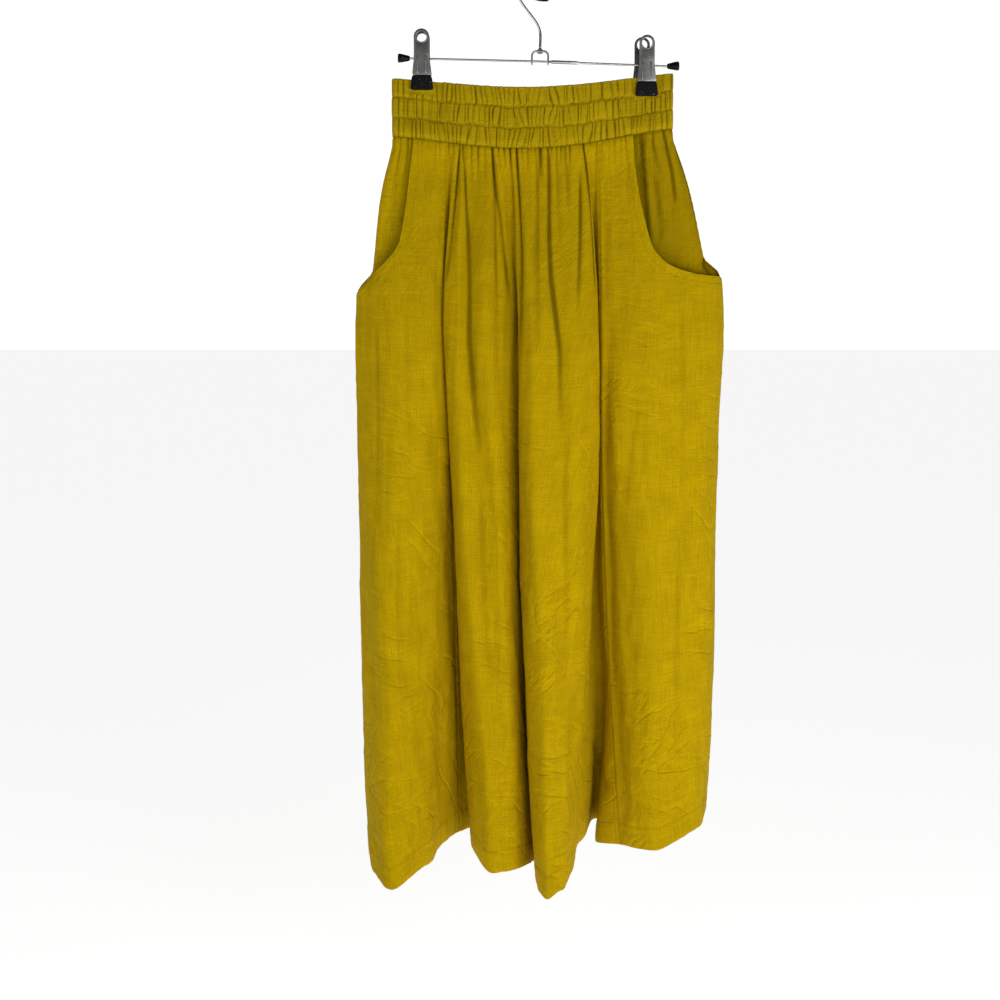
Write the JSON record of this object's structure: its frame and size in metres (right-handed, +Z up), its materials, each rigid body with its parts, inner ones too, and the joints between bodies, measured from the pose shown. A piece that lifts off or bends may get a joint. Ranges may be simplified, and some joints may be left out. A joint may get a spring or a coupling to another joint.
{
  "type": "midi skirt on a clip hanger",
  "caption": "Long flared pull-on skirt with a gathered elastic waistband, pleated front and scooped pockets, hung by its waistband from a metal clip hanger.",
  "frame": {"origin": "top of the inside of the hanger's hook, where it bears on a rail", "axes": "+Z up, the way the hook leaves the rail's underside; +X to the viewer's right, along the rod; -Y out of the skirt's front"},
  "size_m": [0.4012, 0.174, 0.9948],
  "materials": {
    "cloth": "matte woven linen, golden olive yellow",
    "band": "the same linen, gathered over elastic, a little darker",
    "steel": "polished steel wire and pressed plates",
    "rubber": "black, slightly glossy"
  },
  "bodies": {
    "root": {"waistband_front": "band", "waistband_back": "band", "front_side_panel_left": "cloth", "front_centre_panel": "cloth", "front_side_panel_right": "cloth", "back_panel": "cloth", "hip_yoke_left": "cloth", "hip_yoke_right": "cloth", "hanger_hook": "steel", "hanger_stud": "steel", "hanger_bracket": "steel", "hanger_rod": "steel", "clip_left_plate_front": "steel", "clip_left_plate_back": "steel", "clip_left_spring": "steel", "clip_right_plate_front": "steel", "clip_right_plate_back": "steel", "clip_right_spring": "steel", "hanger_hook_tip": "rubber", "hanger_cap_left": "rubber", "hanger_cap_right": "rubber", "clip_left_pad_front": "rubber", "clip_left_pad_back": "rubber", "clip_right_pad_front": "rubber", "clip_right_pad_back": "rubber"}
  },
  "joints": []
}
